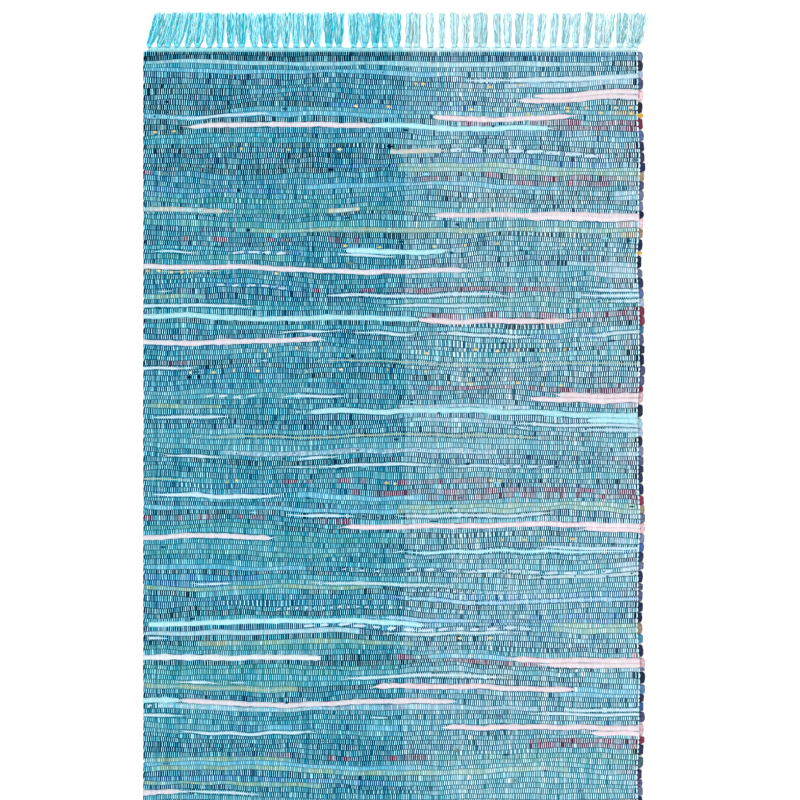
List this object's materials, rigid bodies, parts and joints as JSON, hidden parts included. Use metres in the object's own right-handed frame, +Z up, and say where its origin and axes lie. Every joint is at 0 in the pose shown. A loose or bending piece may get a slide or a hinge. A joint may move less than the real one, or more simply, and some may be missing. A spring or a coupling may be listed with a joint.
{
  "type": "rag rug",
  "caption": "Flat hand-woven rag rug with a ribbed weft of torn rags, looped selvedges and a knotted fringe at each end.",
  "frame": {"origin": "on the floor under the middle of the rug, fringes included", "axes": "+Y along the warp towards one fringe, +X along the rag rows, +Z up from the floor"},
  "size_m": [0.75, 1.296, 0.0063],
  "materials": {
    "woven_rag": "matt turquoise cotton warp over many-coloured torn cotton rags",
    "warp_yarn": "matt pale turquoise cotton yarn"
  },
  "bodies": {
    "root": {"woven_field": "woven_rag", "fringe_top": "warp_yarn", "fringe_bottom": "warp_yarn"}
  },
  "joints": []
}
